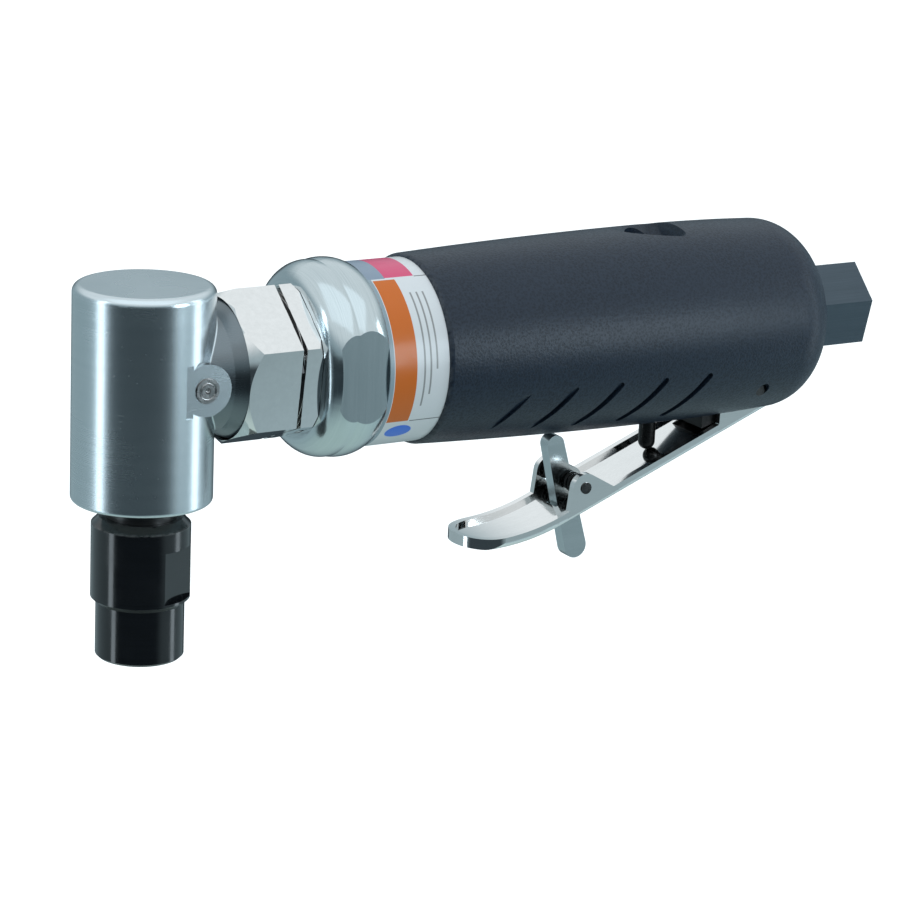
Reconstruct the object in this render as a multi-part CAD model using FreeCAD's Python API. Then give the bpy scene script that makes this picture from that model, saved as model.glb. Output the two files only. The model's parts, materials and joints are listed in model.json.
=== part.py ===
import FreeCAD, Part
import math
import os

# Right-angle air die grinder. The frame's origin is the centre of the collet's mouth, where the
# cutter's shank goes in. +Z runs up the spindle, +X from the angle head towards the air inlet.
# Everything is worked out about the motor axis, which is lifted to its height when it is saved.

Vector = FreeCAD.Vector
ORIGIN = Vector(0, 0, 0)
X_AXIS = Vector(1, 0, 0)
Y_AXIS = Vector(0, 1, 0)
Z_AXIS = Vector(0, 0, 1)

# ---------------------------------------------------------------- driving dimensions, mm and degrees
# A size that depends on another is written as that size plus its own step.
motor_axis_height = 57.3        # from the collet's mouth up to the motor axis

# fits
running_gap = 0.05              # radial gap of a shaft that turns in its bore
assembly_gap = 0.1              # radial gap of pieces that only slip together
free_gap = 0.3                  # least gap between pieces that pass each other
bury = 0.4                      # how far joined features reach into each other

# bearings: inner radius, outer radius, width
head_radius = 14.0
head_wall = 3.0
lower_bearing = (5.0, head_radius - head_wall, 6.0)
upper_bearing = (3.0, 8.5, 5.0)
upper_bearing_z = 11.4          # middle of the bearing
pinion_bearing = (4.0, 9.5, 6.0)
rotor_bearing = (3.0, 8.0, 5.0)
ring_shoulder = 1.4             # height of a shoulder that an inner ring rests on
seat_relief = 0.6               # depth cleared behind a bearing's face

# angle head
head_top = 18.3                 # above the motor axis
head_bottom = -24.9
head_top_round = 1.6
head_bottom_round = 0.8
neck_radius = pinion_bearing[1] + 2.5
neck_root_radius = neck_radius - 0.6
neck_flare_radius = neck_radius + 2.2
neck_flare_x = head_radius + 3.2
neck_flare_width = 1.0
neck_flare_step = 1.4           # length of the slope behind the flare
neck_flare_run = 3.4            # length of the slope in front of it
boss_x = 7.3
boss_z = -0.5
boss_radius = 5.2
boss_face_y = 0.7 - head_radius
fitting_radius = 2.6
fitting_depth = 2.0
fitting_rim = 0.35

# coupling nut
coupling_flats = 28.6           # across flats, one and an eighth inch
coupling_turn = 22.0            # a corner of its hexagon above the horizontal
coupling_front_x = neck_flare_x - 1.8
coupling_rear_x = coupling_front_x + 16.2
coupling_nose_length = 3.0      # length of the conical front chamfer
coupling_groove_x = coupling_rear_x - 4.6
coupling_groove_width = 0.9
coupling_groove_depth = 2.1     # below the corners
coupling_spigot_radius = neck_radius + 2.4
coupling_spigot_x = coupling_rear_x + 1.8
neck_ring_width = 1.2
neck_ring_depth = 0.7           # of its groove in the neck
neck_ring_height = 1.6          # of the ring above the neck
neck_rear_x = coupling_spigot_x + neck_ring_width + 1.4

# pinion shaft
pinion_clamp_width = 4.0
pinion_front_bearing_x = neck_flare_x + 1.8
pinion_rear_bearing_x = neck_rear_x - pinion_clamp_width - pinion_bearing[2] / 2
pinion_shaft_end_x = neck_rear_x + 6.0
drive_hex_flats = 4.0           # across flats of the hexagonal drive end
drive_hex_depth = 7.0

# spindle and collet
head_cap_height = 3.0
mouth_z = -motor_axis_height
spindle_thread_radius = 7.0
spindle_end_z = mouth_z + 7.1
spindle_cone_height = 4.0
spindle_step_drop = 1.6         # from the gear's apex side down to the spindle's larger seat
collet_reach = 24.0             # length of the collet
shank_radius = 3.175            # quarter-inch shank
collet_radius = 5.0
collet_head_radius = 6.2
collet_lip_radius = 4.6
collet_lip_height = 0.6
collet_cone_top = 3.0           # above the mouth
collet_slit = 0.8
collet_slit_height = 17.0
collet_slits = 4

# collet nut
nut_radius = 9.85
nut_nose_radius = 8.8
nut_top_z = head_bottom - 3.3
nut_step_z = mouth_z + 12.1
nut_step_half = 0.5             # half the height of the slope between the two diameters
nut_chamfer = 1.5
nut_flat_distance = 8.45        # from the axis to a spanner flat
nut_flat_top_z = nut_top_z - 5.4
nut_flat_bottom_z = nut_step_z + 1.0
nut_flat_angle = -55.0          # the flats' direction about the spindle
nut_mouth_recess = 0.3

# bevel gears
gear_teeth = 17
pinion_teeth = 14
gear_module = 1.1
gear_face = 3.2
gear_backlash = 0.16
gear_rim = 0.8                  # solid rim behind the teeth
pressure_angle = 22.5
hub_wall = 1.6

# motor housing
motor_bore_radius = 14.6
housing_thread_radius = motor_bore_radius + 0.8
housing_thread_length = 6.0
grip_seat_radius = motor_bore_radius + 2.3
grip_belly_radius = grip_seat_radius + 4.1
band_seat_radius = grip_seat_radius + 1.5
band_thickness = 0.3
band_width = 13.4
collar_radius = band_seat_radius + 1.4
collar_front_radius = coupling_spigot_radius + 1.2
collar_front_x = coupling_rear_x + assembly_gap
collar_crown_x = collar_front_x + 6.3
collar_rear_x = collar_front_x + 12.9
collar_rear_radius = band_seat_radius + 0.5
collar_flat_distance = collar_radius - 2.0
collar_flat_front_x = collar_front_x + 2.3
motor_bore_x = collar_rear_x + 2.4

# air motor
front_plate_x = motor_bore_x + 3.0
front_plate_width = 6.0
cylinder_x = front_plate_x + front_plate_width
cylinder_length = 34.0
cylinder_bore_radius = motor_bore_radius - 2.4
rotor_offset = 0.88             # the bore's centre lies this far above the rotor's
rotor_tip_gap = 0.12
rotor_end_gap = 0.15
rotor_radius = cylinder_bore_radius - rotor_offset - rotor_tip_gap
rotor_shaft_radius = 3.0
rear_plate_x = cylinder_x + cylinder_length
rear_plate_width = 7.5
motor_end_x = rear_plate_x + rear_plate_width
gasket_thickness = 0.5
vane_count = 5
vane_thickness = 1.5
vane_height = 5.0
dowel_radius = 1.0
dowel_reach = 2.5               # into each of the two pieces that it joins
dowel_distance = (motor_bore_radius + cylinder_bore_radius - rotor_offset) / 2
port_count = 6
port_pitch = 4.6
washer_thickness = 0.5
washer_crests = 3

# throttle valve, measured from the valve housing's front
valve_housing_front_x = motor_end_x + gasket_thickness
housing_rear_x = valve_housing_front_x + housing_thread_length
valve_x = valve_housing_front_x + 20.7
valve_bore_radius = 4.2
valve_bore_top_z = 2.0
valve_seat_z = -9.0
stem_radius = 1.8
stem_gap = 0.06                 # between the stem's round tip and the lever's floor
valve_head_radius = 3.4
valve_head_height = 1.8
seal_height = 0.9
spring_wire = 0.7               # side of the spring's square wire
spring_turns = 4
contact_gap = 0.02
air_passage_radius = 2.2
air_passage_z = valve_seat_z - 3.0
inlet_passage_radius = 3.0

# throttle lever
pivot_x = valve_x + 17.5
pivot_z = 8.7 - grip_belly_radius       # the pivot pin crosses this far above the grip's belly
pivot_pin_radius = 1.5
lever_half_width = 8.0
lever_sheet = 1.5
lever_wall_height = 2.3
lever_slope = 22.17             # the floor's angle at rest
lever_drop = 9.35               # from the pivot square down to the floor's underside
lever_rear_reach = 4.9          # floor behind the pivot's foot
lever_bow_radius = 50.0
lever_bow_x = pivot_x - 41.6    # where the straight floor turns into the bowed spoon
lever_tip_x = pivot_x - 64.6
lever_bend_round = 1.3
lever_travel = 5.5              # degrees
rear_ear_radius = 4.2
front_ear_radius = 3.1
ear_foot_height = 1.0           # of an ear's feet above the floor's underside
rear_ear_feet = (4.3, -8.0)     # behind and ahead of the pivot's foot
front_ear_feet = (6.4, -5.9)    # behind and ahead of the lock pin's foot
lug_half_width = 6.2
lug_front_x = pivot_x - 7.7
lug_face_relief = 1.2           # how far the ears' recesses start behind the lug's front
lug_corner_relief = 2.0         # height cut over the lever's edges at the lug's front
stop_gap = 0.15

# lock-off lever
lock_pin_x = pivot_x - 37.5
lock_pin_z = pivot_z - 19.7
lock_pin_radius = 1.25
lock_thickness = 3.0
lock_upper_tip = (lock_pin_x - 3.8, lock_pin_z + 8.1)   # centre of the upper end's round
lock_upper_width = 4.1
lock_lower_tip = (lock_pin_x + 2.3, lock_pin_z - 14.8)
lock_lower_width = 5.3
lock_eye_radius = 3.0
lock_slot_front = 5.8           # ahead of the pin's foot, along the lever's floor
lock_slot_rear = 5.2
lock_slot_gap = 0.4
torsion_wire = 0.7
torsion_turns = 3

# air inlet
inlet_flats = 17.46             # across flats, eleven sixteenths of an inch
inlet_turn = 15.5               # a corner of the hexagon above the horizontal
inlet_seat_radius = inlet_flats / 2 - 0.53
inlet_seat_length = 12.7        # of the bushing inside the grip and valve housing
inlet_hex_gap = 0.7             # between the grip's rear and the hexagon
inlet_hex_length = 14.1
inlet_thread_radius = 5.56      # tapping size of a quarter-inch pipe thread
inlet_thread_length = 14.0
inlet_bore_radius = 4.2
screen_thickness = 0.4
screen_depth = 3.0
screen_step = 0.3               # the screen's seat is this much smaller than the thread
screen_holes = 8
screen_hole_radius = 0.45
diffuser_width = 3.0
diffuser_recess = 0.9

# grip
grip_front_x = collar_rear_x + band_width
grip_rear_x = pivot_x + 18.0
grip_front_radius = band_seat_radius + 1.05
grip_belly_x = grip_front_x + 60.0
grip_shoulder_x = grip_rear_x - 10.0
grip_shoulder_radius = grip_belly_radius - 0.6
grip_rear_radius = inlet_seat_radius + 2.7
grip_front_round = 0.9
groove_count = 5
groove_first_x = grip_front_x + 15.2    # middle of the first groove
groove_pitch = 10.9
groove_angle = 35.0             # below the horizontal, at a groove's middle
groove_length = 14.6
groove_slant = 31.0             # from the ring direction towards the tool's rear
groove_width = 1.5
groove_depth = 1.5
scoop_radius = 8.2
scoop_slope = 20.0
scoop_end_x = valve_x + 1.8
scoop_end_z = grip_seat_radius - 0.7
scoop_round = 2.0
valve_housing_rear_x = grip_rear_x - 3.0
valve_housing_shoulder_x = grip_rear_x - 9.5

# power regulator, in the floor of the scoop
regulator_x = valve_x - 4.1
regulator_z = grip_seat_radius - 1.7
regulator_radius = 3.0
regulator_knob_radius = 4.6
regulator_knob_height = 1.6
regulator_seat = 0.3            # how far the knob is let into the scoop's floor
regulator_slot = 1.0
regulator_length = 25.0

# ---------------------------------------------------------------- sizes that follow
head_bore_radius = head_radius - head_wall
lower_bearing_z = head_bottom + head_cap_height + lower_bearing[2] / 2
gear_seat_z = -gear_module * pinion_teeth / 2 - spindle_step_drop
collet_top_z = mouth_z + collet_reach
band_radius = band_seat_radius + band_thickness
coupling_corner_radius = coupling_flats / 2 / math.cos(math.radians(30))
inlet_hex_x = grip_rear_x + inlet_hex_gap
inlet_end_x = inlet_hex_x + inlet_hex_length
inlet_bushing_x = grip_rear_x - inlet_seat_length
thread_end_x = inlet_end_x - inlet_thread_length
lever_floor_drop = lever_drop - lever_sheet
below_all = -2 * grip_belly_radius      # lower than anything on the grip


# ---------------------------------------------------------------- small helpers
def cylinder(radius, length, base, direction):
    return Part.makeCylinder(radius, length, base, direction)


def x_rod(radius, x_from, x_to, z=0.0, y=0.0):
    return cylinder(radius, x_to - x_from, Vector(x_from, y, z), X_AXIS)


def z_rod(radius, z_from, z_to, x=0.0, y=0.0):
    return cylinder(radius, z_to - z_from, Vector(x, y, z_from), Z_AXIS)


def y_rod(radius, half_length, x, z):
    return cylinder(radius, 2 * half_length, Vector(x, -half_length, z), Y_AXIS)


def block(x_range, y_range, z_range):
    size = [high - low for low, high in (x_range, y_range, z_range)]
    return Part.makeBox(*size, Vector(x_range[0], y_range[0], z_range[0]))


def x_turned(profile):
    """A solid turned about the motor axis from (x, radius) points."""
    points = [Vector(x, 0, radius) for x, radius in profile]
    return Part.Face(Part.makePolygon(points + points[:1])).revolve(ORIGIN, X_AXIS, 360)


def z_turned(profile):
    """A solid turned about the spindle axis from (radius, z) points."""
    points = [Vector(radius, 0, z) for radius, z in profile]
    return Part.Face(Part.makePolygon(points + points[:1])).revolve(ORIGIN, Z_AXIS, 360)


def turned_wire(edges, axis):
    return Part.Face(Part.Wire(edges)).revolve(ORIGIN, axis, 360)


def x_hexagon(across_flats, x_from, x_to, turn=0.0):
    """A hexagonal bar along X; turn is how far one corner lies above the horizontal."""
    corner = across_flats / 2 / math.cos(math.radians(30))
    points = []
    for index in range(6):
        angle = math.radians(turn + 60 * index)
        points.append(Vector(x_from, -corner * math.cos(angle), corner * math.sin(angle)))
    face = Part.Face(Part.makePolygon(points + points[:1]))
    return face.extrude(Vector(x_to - x_from, 0, 0))


def xz_plate(points, half_width, y=0.0):
    """A flat plate from an outline of (x, z) points, spread both ways from y."""
    corners = [Vector(x, y - half_width, z) for x, z in points]
    face = Part.Face(Part.makePolygon(corners + corners[:1]))
    return face.extrude(Vector(0, 2 * half_width, 0))


def fused(first, *others):
    return first.fuse(list(others)).removeSplitter()


def tangent_point(point, centre, radius, side):
    """Where the line from a point touches a circle; side is 1 or -1."""
    dx = point[0] - centre[0]
    dz = point[1] - centre[1]
    distance = math.hypot(dx, dz)
    angle = math.atan2(dz, dx) + side * math.acos(radius / distance)
    return (centre[0] + radius * math.cos(angle), centre[1] + radius * math.sin(angle))


def ear_plate(rear_foot, front_foot, centre, radius, half_width, y):
    """A lug with straight sides that run tangent from its two feet to a round top."""
    outline = [
        rear_foot,
        tangent_point(rear_foot, centre, radius, 1),
        centre,
        tangent_point(front_foot, centre, radius, -1),
        front_foot,
    ]
    disc = y_rod(radius, half_width, centre[0], centre[1]).translated(Vector(0, y, 0))
    return fused(xz_plate(outline, half_width, y), disc)


def bearing(sizes, axis, middle):
    """Inner ring, balls and outer ring of a deep-groove ball bearing."""
    inner_radius, outer_radius, width = sizes
    middle_radius = (inner_radius + outer_radius) / 2
    ball_radius = 0.3 * (outer_radius - inner_radius)
    lip = 0.5 * ball_radius
    groove = Part.makeTorus(middle_radius, ball_radius + running_gap)
    base = Vector(0, 0, -width / 2)
    inner = cylinder(middle_radius - lip, width, base, Z_AXIS)
    inner = inner.cut(cylinder(inner_radius, width, base, Z_AXIS)).cut(groove)
    outer = cylinder(outer_radius, width, base, Z_AXIS)
    outer = outer.cut(cylinder(middle_radius + lip, width, base, Z_AXIS)).cut(groove)
    count = int(math.pi * middle_radius / (1.25 * ball_radius))
    balls = []
    for index in range(count):
        angle = 2 * math.pi * index / count
        centre = Vector(middle_radius * math.cos(angle), middle_radius * math.sin(angle), 0)
        balls.append(Part.makeSphere(ball_radius, centre))
    placed = FreeCAD.Placement(middle, FreeCAD.Rotation(Z_AXIS, axis))
    return [shape.transformed(placed.toMatrix()) for shape in (inner, Part.makeCompound(balls), outer)]


def spring(section, coil_radius, turns, pitch):
    """A helical wire that starts at (coil_radius, 0, 0), where its section stands."""
    helix = Part.makeHelix(pitch, pitch * turns, coil_radius)
    return Part.Wire(helix.Edges).makePipeShell([section], True, True)


def round_wire(wire_radius, coil_radius):
    return Part.Wire(Part.makeCircle(wire_radius, Vector(coil_radius, 0, 0), Y_AXIS))


def square_wire(side, coil_radius):
    half = side / 2
    corners = [(-half, -half), (half, -half), (half, half), (-half, half), (-half, -half)]
    return Part.makePolygon([Vector(coil_radius + out, 0, up) for out, up in corners])


# ---------------------------------------------------------------- bevel gears
def bevel_gear(teeth, mate_teeth, turn):
    """A straight bevel gear on +Z whose pitch cone meets its mate's at the origin."""
    pitch_radius = gear_module * teeth / 2
    pitch_height = gear_module * mate_teeth / 2
    cone_angle = math.atan2(pitch_radius, pitch_height)
    cone_length = math.hypot(pitch_radius, pitch_height)
    inner_scale = (cone_length - gear_face) / cone_length
    addendum = 0.8 * gear_module
    dedendum = 1.1 * gear_module
    outward = Vector(math.cos(cone_angle), 0, -math.sin(cone_angle))
    pitch_point = Vector(pitch_radius, 0, pitch_height)

    back_radius = pitch_radius / math.cos(cone_angle)
    alpha = math.radians(pressure_angle)
    involute = math.tan(alpha) - alpha
    pitch_half_angle = math.pi * gear_module / 4 / back_radius - gear_backlash / 2 / back_radius
    flank = []
    steps = 4
    for index in range(steps + 1):
        radius = back_radius - 0.7 * dedendum + (0.7 * dedendum + addendum) * index / steps
        radius = max(radius, back_radius * math.cos(alpha) * 1.001)
        local = math.acos(back_radius * math.cos(alpha) / radius)
        half_angle = pitch_half_angle + involute - (math.tan(local) - local)
        flank.append((radius * math.cos(half_angle) - back_radius, radius * math.sin(half_angle)))
    flank.insert(0, (-dedendum - bury, flank[0][1]))

    right = [pitch_point + outward * height + Y_AXIS * half for height, half in flank]
    left = [pitch_point + outward * height - Y_AXIS * half for height, half in reversed(flank)]
    outer = Part.makePolygon(right + left + right[:1])
    inner = Part.makePolygon([point * inner_scale for point in right + left + right[:1]])
    tooth = Part.makeLoft([outer, inner], True, True)

    root = pitch_point - outward * dedendum
    inner_root = root * inner_scale
    back_z = root.z + gear_rim
    blank = z_turned([
        (0, inner_root.z),
        (inner_root.x, inner_root.z),
        (root.x, root.z),
        (root.x, back_z),
        (0, back_z),
    ])
    step = 360.0 / teeth
    rim = [tooth.rotated(ORIGIN, Z_AXIS, turn + step * index) for index in range(teeth)]
    return blank.fuse(rim)


# ---------------------------------------------------------------- angle head
def angle_head():
    body = z_rod(head_radius, head_bottom, head_top)
    body = body.makeFillet(head_top_round, [edge_at(body, head_top)])
    body = body.makeFillet(head_bottom_round, [edge_at(body, head_bottom)])
    neck = x_turned([
        (0, 0),
        (0, neck_root_radius),
        (head_radius * 0.55, neck_root_radius),
        (neck_flare_x - neck_flare_run, neck_root_radius + 0.9),
        (neck_flare_x, neck_flare_radius),
        (neck_flare_x + neck_flare_width, neck_flare_radius),
        (neck_flare_x + neck_flare_width + neck_flare_step, neck_radius),
        (neck_rear_x, neck_radius),
        (neck_rear_x, 0),
    ])
    boss = cylinder(boss_radius, -boss_face_y, Vector(boss_x, boss_face_y, boss_z), Y_AXIS)
    spot = block(
        (boss_x - boss_radius + 0.6, boss_x + 2 * boss_radius),
        (-head_radius - 1, boss_face_y),
        (boss_z - boss_radius, boss_z + boss_radius),
    )
    body = fused(body.cut(spot), neck, boss)
    pocket_bottom = upper_bearing_z - upper_bearing[2] / 2 - seat_relief
    pocket_top = upper_bearing_z + upper_bearing[2] / 2
    hollow = z_turned([
        (0, head_bottom - 1),
        (head_bore_radius, head_bottom - 1),
        (head_bore_radius, pocket_bottom),
        (upper_bearing[1], pocket_bottom),
        (upper_bearing[1], pocket_top),
        (upper_bearing[0] + 1.0, pocket_top),
        (upper_bearing[0] + 1.0, pocket_top + 0.8),
        (0, pocket_top + 0.8),
    ])
    bore = x_rod(pinion_bearing[1], 0, neck_rear_x)
    grease_way = cylinder(fitting_radius - 0.8, 8.0, Vector(boss_x, boss_face_y - 1, boss_z), Y_AXIS)
    seat = cylinder(fitting_radius, fitting_depth, Vector(boss_x, boss_face_y, boss_z), Y_AXIS)
    ring_end = coupling_spigot_x + neck_ring_width
    ring_groove = x_rod(neck_radius + 1, coupling_spigot_x, ring_end)
    ring_groove = ring_groove.cut(x_rod(neck_radius - neck_ring_depth, coupling_spigot_x, ring_end))
    return body.cut([hollow, bore, grease_way, seat, ring_groove])


def edge_at(shape, z):
    """The circular edge of a plain upright cylinder at this height."""
    for edge in shape.Edges:
        if abs(edge.BoundBox.ZMin - z) < 1e-6 and abs(edge.BoundBox.ZMax - z) < 1e-6:
            return edge


def grease_fitting():
    """The plug that the head is greased through, with a ring groove and a dimple in its face."""
    face = Vector(boss_x, boss_face_y - fitting_rim, boss_z)
    stem = cylinder(fitting_radius, fitting_depth, Vector(boss_x, boss_face_y, boss_z), Y_AXIS)
    rim = cylinder(fitting_radius - 0.2, fitting_rim, face, Y_AXIS)
    groove = Part.makeTorus(fitting_radius - 1.0, 0.28, face, Y_AXIS)
    dimple = Part.makeSphere(0.6, face)
    return fused(stem, rim).cut([groove, dimple])


def head_cap():
    """The threaded ring that holds the lower bearing in the head."""
    ring = z_rod(head_bore_radius, head_bottom, head_bottom + head_cap_height)
    ring = ring.cut(z_rod(spindle_thread_radius + free_gap, head_bottom, head_bottom + head_cap_height))
    for angle in (0, 90, 180, 270):
        x = 0.82 * head_bore_radius * math.cos(math.radians(angle))
        y = 0.82 * head_bore_radius * math.sin(math.radians(angle))
        ring = ring.cut(z_rod(0.9, head_bottom, head_bottom + 1.5, x, y))
    return ring


# ---------------------------------------------------------------- spindle, collet and nut
def spindle():
    top_z = upper_bearing_z + upper_bearing[2] / 2 + bury
    shoulder_z = head_bottom + head_cap_height - bury
    bore_top_z = collet_top_z + seat_relief
    return z_turned([
        (0, top_z),
        (upper_bearing[0], top_z),
        (upper_bearing[0], gear_seat_z),
        (lower_bearing[0], gear_seat_z),
        (lower_bearing[0], shoulder_z),
        (spindle_thread_radius, shoulder_z),
        (spindle_thread_radius, spindle_end_z),
        (collet_head_radius, spindle_end_z),
        (collet_radius + running_gap, spindle_end_z + spindle_cone_height),
        (collet_radius + running_gap, bore_top_z),
        (shank_radius + free_gap, bore_top_z),
        (shank_radius + free_gap, head_bottom - 1.0),
        (0, head_bottom - 1.0),
    ])


def collet():
    body = z_turned([
        (shank_radius, mouth_z),
        (collet_lip_radius, mouth_z),
        (collet_lip_radius, mouth_z + collet_lip_height),
        (collet_head_radius - running_gap, mouth_z + collet_cone_top),
        (collet_head_radius - running_gap, spindle_end_z - 2 * running_gap),
        (collet_radius, spindle_end_z + spindle_cone_height),
        (collet_radius, collet_top_z),
        (shank_radius, collet_top_z),
    ])
    slit_top = mouth_z + collet_slit_height
    for index in range(collet_slits):
        slit = block((0, 2 * collet_radius), (-collet_slit / 2, collet_slit / 2), (mouth_z, slit_top))
        body = body.cut(slit.rotated(ORIGIN, Z_AXIS, 45 + 360.0 / collet_slits * index))
    return body


def collet_nut():
    bottom = mouth_z + nut_mouth_recess
    clearance = running_gap
    body = z_turned([
        (spindle_thread_radius + clearance, nut_top_z),
        (nut_radius - nut_chamfer, nut_top_z),
        (nut_radius, nut_top_z - nut_chamfer),
        (nut_radius, nut_step_z + nut_step_half),
        (nut_nose_radius, nut_step_z - nut_step_half),
        (nut_nose_radius, bottom + nut_step_half),
        (nut_nose_radius - nut_step_half, bottom),
        (collet_lip_radius + 2 * clearance, bottom),
        (collet_lip_radius + 2 * clearance, mouth_z + collet_lip_height),
        (collet_head_radius + clearance, mouth_z + collet_cone_top),
        (collet_head_radius + clearance, spindle_end_z - free_gap),
        (spindle_thread_radius + clearance, spindle_end_z - free_gap),
    ])
    for turn in (0, 180):
        flat = block(
            (nut_flat_distance, 2 * nut_radius),
            (-nut_radius, nut_radius),
            (nut_flat_bottom_z, nut_flat_top_z),
        )
        body = body.cut(flat.rotated(ORIGIN, Z_AXIS, nut_flat_angle + turn))
    return body


def crown_gear():
    """The larger bevel gear, keyed on the spindle with its teeth facing up."""
    gear = bevel_gear(gear_teeth, pinion_teeth, 180.0 / gear_teeth * (1 - gear_teeth % 2))
    gear = gear.rotated(ORIGIN, Y_AXIS, 180)
    back_z = gear.BoundBox.ZMin
    hub_end = lower_bearing_z + lower_bearing[2] / 2
    hub = z_rod(lower_bearing[0] + hub_wall, hub_end, back_z + bury)
    shaft_hole = z_rod(lower_bearing[0], hub_end - 1, gear_seat_z)
    journal_hole = z_rod(upper_bearing[0], hub_end - 1, 0)
    return fused(gear, hub).cut([shaft_hole, journal_hole])


def bevel_pinion():
    """The driving bevel gear in one piece with its shaft."""
    gear = bevel_gear(pinion_teeth, gear_teeth, 0)
    gear = gear.rotated(ORIGIN, Y_AXIS, 90)
    shoulder_x = pinion_front_bearing_x - pinion_bearing[2] / 2
    shaft = x_rod(pinion_bearing[0], gear.BoundBox.XMax - bury, pinion_shaft_end_x)
    collar = x_rod(pinion_bearing[0] + ring_shoulder, gear.BoundBox.XMax - bury, shoulder_x)
    socket = x_hexagon(drive_hex_flats, pinion_shaft_end_x - drive_hex_depth, pinion_shaft_end_x)
    return fused(gear, shaft, collar).cut(socket)


def pinion_spacer():
    start = pinion_front_bearing_x + pinion_bearing[2] / 2
    end = pinion_rear_bearing_x - pinion_bearing[2] / 2
    return x_rod(pinion_bearing[0] + ring_shoulder, start, end).cut(x_rod(pinion_bearing[0], start, end))


def pinion_clamp_ring():
    """The threaded ring behind the pinion's rear bearing, in the end of the neck."""
    start = neck_rear_x - pinion_clamp_width
    ring = x_rod(pinion_bearing[1], start, neck_rear_x)
    ring = ring.cut(x_rod(pinion_bearing[0] + ring_shoulder + 1.0, start, neck_rear_x))
    reach = (-pinion_bearing[1], pinion_bearing[1])
    slot = block((neck_rear_x - 1.2, neck_rear_x), reach, (-0.9, 0.9))
    return ring.cut([slot, slot.rotated(ORIGIN, X_AXIS, 90)])


# ---------------------------------------------------------------- coupling nut and motor housing
def coupling_nut():
    """The hexagonal nut that holds the head on the motor, with a turned groove before its collar."""
    corner = coupling_corner_radius
    envelope = x_turned([
        (coupling_front_x, 0),
        (coupling_front_x, coupling_flats / 2 - 0.6),
        (coupling_front_x + coupling_nose_length, corner),
        (coupling_rear_x - 1.0, corner),
        (coupling_rear_x, corner - 1.0),
        (coupling_rear_x, 0),
    ])
    body = x_hexagon(coupling_flats, coupling_front_x, coupling_rear_x, coupling_turn).common(envelope)
    groove_end = coupling_groove_x + coupling_groove_width
    groove = x_rod(corner + 1, coupling_groove_x, groove_end)
    groove = groove.cut(x_rod(corner - coupling_groove_depth, coupling_groove_x, groove_end))
    spigot = x_rod(coupling_spigot_radius, coupling_rear_x, coupling_spigot_x)
    body = fused(body.cut(groove), spigot)
    flare_bore = neck_flare_radius + assembly_gap
    neck_bore = neck_radius + assembly_gap
    flare_end = neck_flare_x + neck_flare_width
    mouth = x_turned([
        (coupling_front_x, 0),
        (coupling_front_x, flare_bore),
        (flare_end, flare_bore),
        (flare_end + neck_flare_step + assembly_gap, neck_bore),
        (coupling_spigot_x, neck_bore),
        (coupling_spigot_x, 0),
    ])
    return body.cut(mouth)


def neck_ring():
    """The split ring in the neck's groove, which the coupling nut pulls on."""
    start = coupling_spigot_x
    end = start + neck_ring_width
    ring = x_rod(neck_radius + neck_ring_height, start, end)
    ring = ring.cut(x_rod(neck_radius - neck_ring_depth, start, end))
    return ring.cut(block((start, end), (-1.0, 1.0), (-2 * neck_radius, 0)))


def motor_housing():
    """Collar, label seat and the tube that holds the air motor."""
    crown = Vector(collar_crown_x, 0, collar_radius)
    front = Vector(collar_front_x, 0, collar_front_radius)
    shoulder = Vector(collar_front_x + 1.9, 0, collar_radius - 1.3)
    rear = Vector(collar_rear_x, 0, collar_rear_radius)
    rear_bulge = Vector(collar_rear_x - 1.3, 0, collar_radius - 0.25)
    line = [
        (collar_rear_x, band_seat_radius),
        (grip_front_x, band_seat_radius),
        (grip_front_x, grip_seat_radius),
        (housing_rear_x, grip_seat_radius),
        (housing_rear_x, 0),
        (collar_front_x, 0),
    ]
    edges = [Part.Arc(front, shoulder, crown).toShape(), Part.Arc(crown, rear_bulge, rear).toShape()]
    corners = [rear] + [Vector(x, 0, radius) for x, radius in line] + [front]
    edges += [Part.LineSegment(a, b).toShape() for a, b in zip(corners, corners[1:])]
    body = turned_wire(edges, X_AXIS)
    for side in (-1, 1):
        reach = sorted((side * collar_flat_distance, side * 2 * collar_radius))
        flat = block((collar_flat_front_x, collar_rear_x), reach, (-collar_radius, collar_radius))
        body = body.cut(flat)
    inside = x_turned([
        (collar_front_x, 0),
        (collar_front_x, coupling_spigot_radius + assembly_gap),
        (neck_rear_x, coupling_spigot_radius + assembly_gap),
        (neck_rear_x, pinion_bearing[1]),
        (motor_bore_x, pinion_bearing[1]),
        (motor_bore_x, motor_bore_radius),
        (valve_housing_front_x, motor_bore_radius),
        (valve_housing_front_x, housing_thread_radius),
        (housing_rear_x, housing_thread_radius),
        (housing_rear_x, 0),
    ])
    return body.cut(inside)


def label_band():
    return x_rod(band_radius, collar_rear_x, grip_front_x).cut(
        x_rod(band_seat_radius, collar_rear_x, grip_front_x)
    )


# ---------------------------------------------------------------- air motor
def motor_slug(x_from, x_to):
    """A plain disc that slips into the motor housing's bore."""
    return x_rod(motor_bore_radius - assembly_gap, x_from, x_to)


def dowel_at(x):
    """A dowel pin across the joint face at x; the same rod cuts its holes."""
    return x_rod(dowel_radius, x - dowel_reach, x + dowel_reach, z=-dowel_distance)


def front_plate():
    body = motor_slug(front_plate_x, cylinder_x)
    pocket = x_rod(rotor_bearing[1], front_plate_x, front_plate_x + rotor_bearing[2])
    hole = x_rod(rotor_shaft_radius + free_gap, front_plate_x, cylinder_x)
    return body.cut([pocket, hole, dowel_at(cylinder_x)])


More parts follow.
